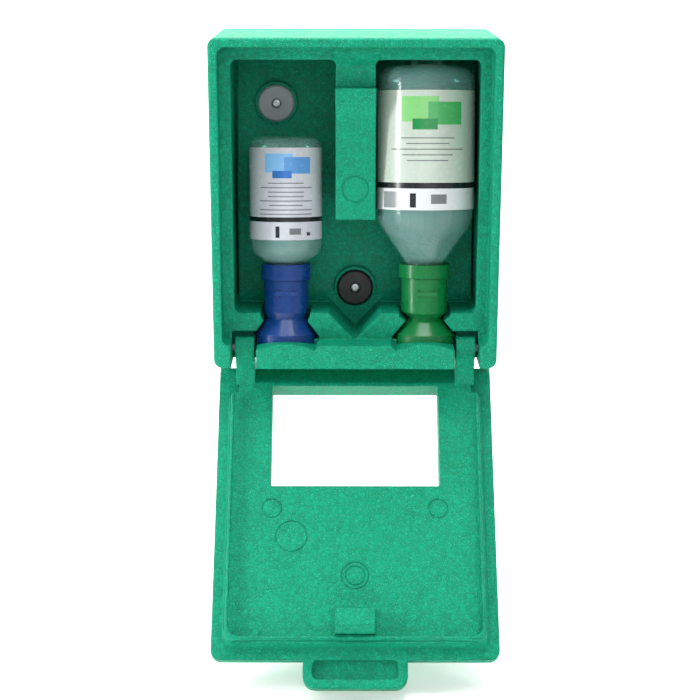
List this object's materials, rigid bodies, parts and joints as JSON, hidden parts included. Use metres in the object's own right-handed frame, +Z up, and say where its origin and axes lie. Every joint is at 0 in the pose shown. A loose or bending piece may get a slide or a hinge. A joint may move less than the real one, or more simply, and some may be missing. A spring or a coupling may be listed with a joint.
{
  "type": "eyewash station",
  "caption": "Wall-mounted foam eyewash station with a drop-down door and two leaning saline bottles standing on capped eyecups.",
  "frame": {"origin": "centre of the tray's flat wall face", "axes": "+X to the right of someone facing the station, +Y into the wall, +Z up"},
  "size_m": [0.22, 0.254, 0.4719],
  "materials": {
    "green_foam": "moulded bead foam",
    "grey_pin": "satin",
    "grey_washer": "satin",
    "black_washer": "satin",
    "zinc_screw": "zinc plated",
    "clear_bottle": "translucent blow moulded",
    "saline": "clear liquid",
    "small_label": "printed film",
    "big_label": "printed film",
    "small_cup_plastic": "moulded",
    "big_cup_plastic": "moulded",
    "seal_rubber": "soft matt",
    "nozzle_plastic": "moulded"
  },
  "bodies": {
    "tray": {"tray": "green_foam", "hinge_pin_left": "grey_pin", "hinge_pin_right": "grey_pin", "washer_upper": "grey_washer", "washer_lower": "black_washer", "screw_upper": "zinc_screw", "screw_lower": "zinc_screw"},
    "door": {"door": "green_foam"},
    "small_bottle": {"small_bottle": "clear_bottle", "small_saline": "saline", "small_label": "small_label", "small_collar": "small_cup_plastic", "small_seal": "seal_rubber", "small_nozzle": "nozzle_plastic"},
    "big_bottle": {"big_bottle": "clear_bottle", "big_saline": "saline", "big_label": "big_label", "big_collar": "big_cup_plastic", "big_seal": "seal_rubber", "big_nozzle": "nozzle_plastic"},
    "small_eyecup": {"small_eyecup": "small_cup_plastic", "small_dust_cap": "small_cup_plastic"},
    "big_eyecup": {"big_eyecup": "big_cup_plastic", "big_dust_cap": "big_cup_plastic"}
  },
  "joints": [
    {"name": "door_hinge", "type": "hinge", "parent": "tray", "child": "door", "pos_m": [0, -0.0844, -0.1154], "axis": [1, 0, 0], "range_deg": [-142.4, 0]},
    {"name": "small_bottle_tilt", "type": "hinge", "parent": "tray", "child": "small_bottle", "pos_m": [-0.0546, -0.1018, -0.1062], "axis": [1, 0, 0], "range_deg": [0, 6]},
    {"name": "big_bottle_tilt", "type": "hinge", "parent": "tray", "child": "big_bottle", "pos_m": [0.0546, -0.1018, -0.1062], "axis": [1, 0, 0], "range_deg": [0, 2.4]},
    {"name": "small_eyecup_twist", "type": "hinge", "parent": "small_bottle", "child": "small_eyecup", "pos_m": [-0.0546, -0.077, -0.1155], "axis": [0, -0.1305, -0.9914], "range_deg": [0, 90]},
    {"name": "big_eyecup_twist", "type": "hinge", "parent": "big_bottle", "child": "big_eyecup", "pos_m": [0.0546, -0.077, -0.1155], "axis": [0, -0.1305, -0.9914], "range_deg": [0, 90]}
  ]
}
